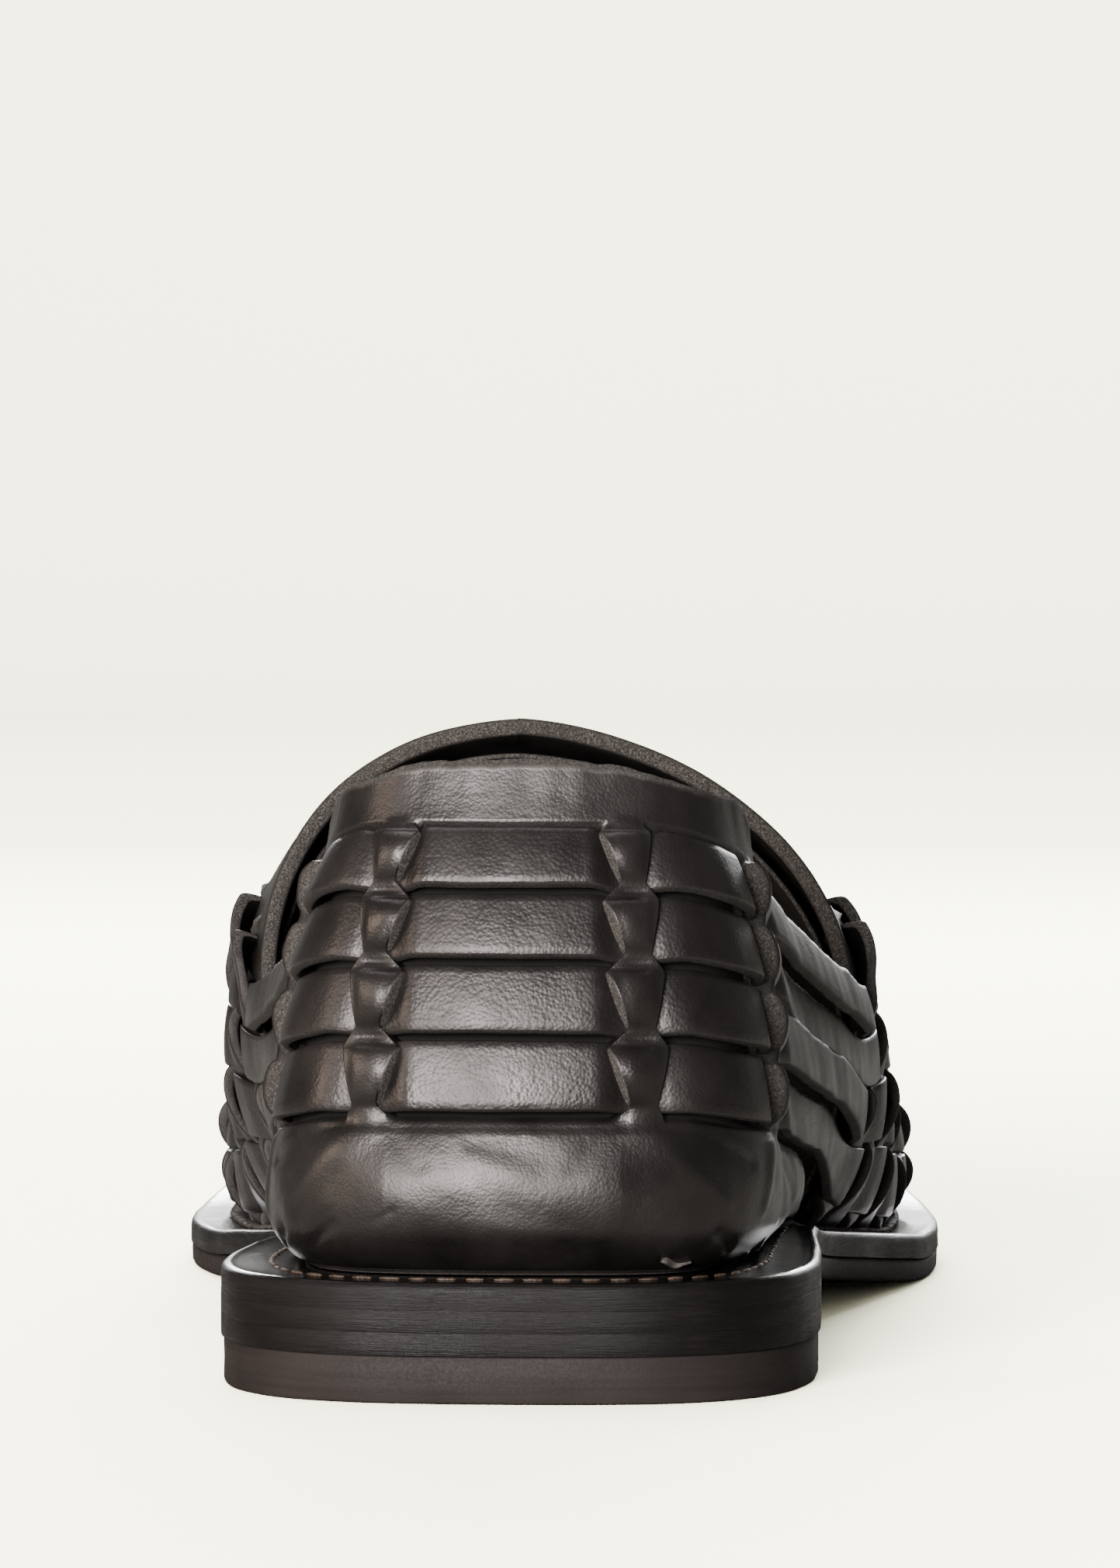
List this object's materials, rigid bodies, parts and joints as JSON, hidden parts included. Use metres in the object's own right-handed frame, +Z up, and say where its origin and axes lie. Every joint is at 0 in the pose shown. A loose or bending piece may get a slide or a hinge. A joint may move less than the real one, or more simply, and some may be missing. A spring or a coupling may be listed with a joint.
{
  "type": "huarache slip-on shoe",
  "caption": "Low woven leather huarache slip-on with an open topline, slotted heel counter, smooth vamp, leather sole, stacked heel and rubber tread.",
  "frame": {"origin": "on the floor under the heel, at the mount heel_rest, 35 mm ahead of the sole's back edge", "axes": "+X to the wearer's right (lateral side), +Y from heel to toe, +Z up"},
  "size_m": [0.1088, 0.292, 0.0819],
  "materials": {
    "strip_leather": "soft sheen, fine grain",
    "smooth_leather": "smooth, soft sheen",
    "insole_leather": "smooth, matte",
    "sole_edge": "burnished edge",
    "rubber": "matte"
  },
  "bodies": {
    "root": {"upper": "strip_leather", "vamp": "smooth_leather", "counter": "smooth_leather", "insole": "insole_leather", "leather_sole": "sole_edge", "rubber_sole": "rubber", "heel_lift_upper": "sole_edge", "heel_lift_lower": "sole_edge", "heel_top_piece": "rubber"}
  },
  "joints": []
}
